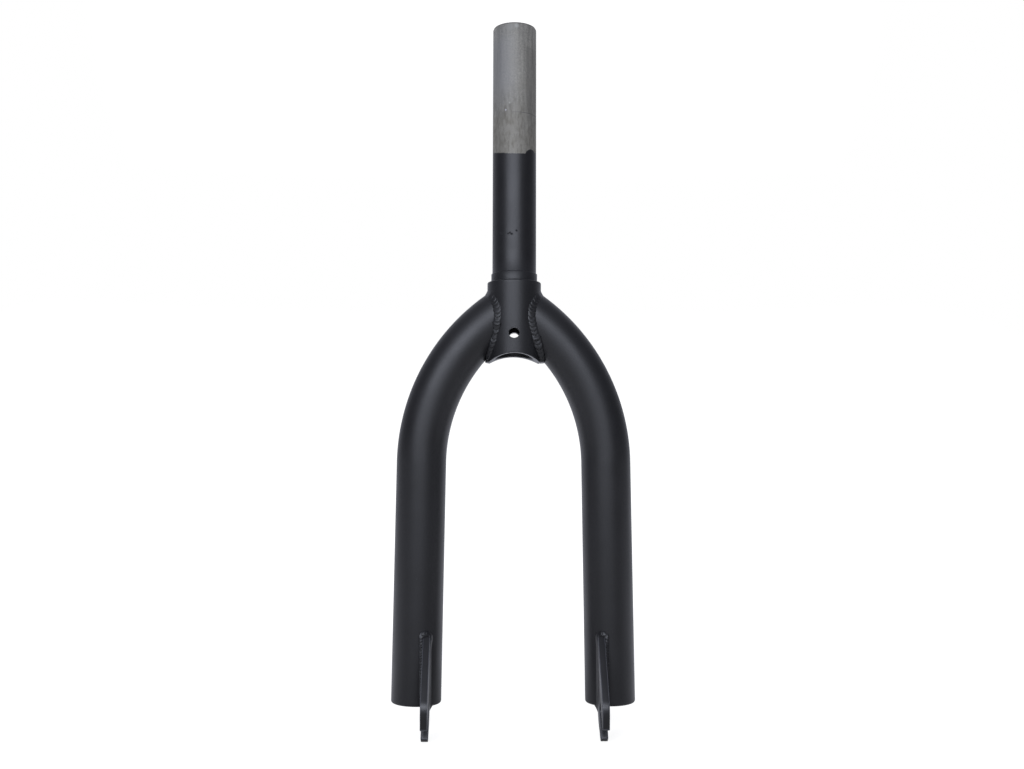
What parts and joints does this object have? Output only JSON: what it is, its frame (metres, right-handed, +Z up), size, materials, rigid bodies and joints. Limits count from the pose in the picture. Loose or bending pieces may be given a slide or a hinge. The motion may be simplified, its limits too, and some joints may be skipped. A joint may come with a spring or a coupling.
{
  "type": "bicycle fork",
  "caption": "Rigid welded steel bicycle fork: threadless steerer, drilled crown barrel, bent tubular legs and forward-leaning slotted dropout plates, in satin black.",
  "frame": {"origin": "on the steerer axis, at the shoulder that the lower headset race sits on", "axes": "+Z up the steerer; the fork faces -Y, with its dropouts on that side; +X to the rider's left, across the dropouts"},
  "size_m": [0.1552, 0.06, 0.4569],
  "materials": {
    "steerer_finish": "satin black paint on the barrel and lower steerer, bare drawn steel on the top of the steerer",
    "frame_paint": "satin black paint over welded steel"
  },
  "bodies": {
    "root": {"steerer_tube": "steerer_finish", "right_leg": "frame_paint", "left_leg": "frame_paint", "right_leg_cap": "frame_paint", "left_leg_cap": "frame_paint", "right_dropout": "frame_paint", "left_dropout": "frame_paint", "right_crown_weld": "frame_paint", "left_crown_weld": "frame_paint", "right_dropout_weld": "frame_paint", "left_dropout_weld": "frame_paint"}
  },
  "joints": []
}
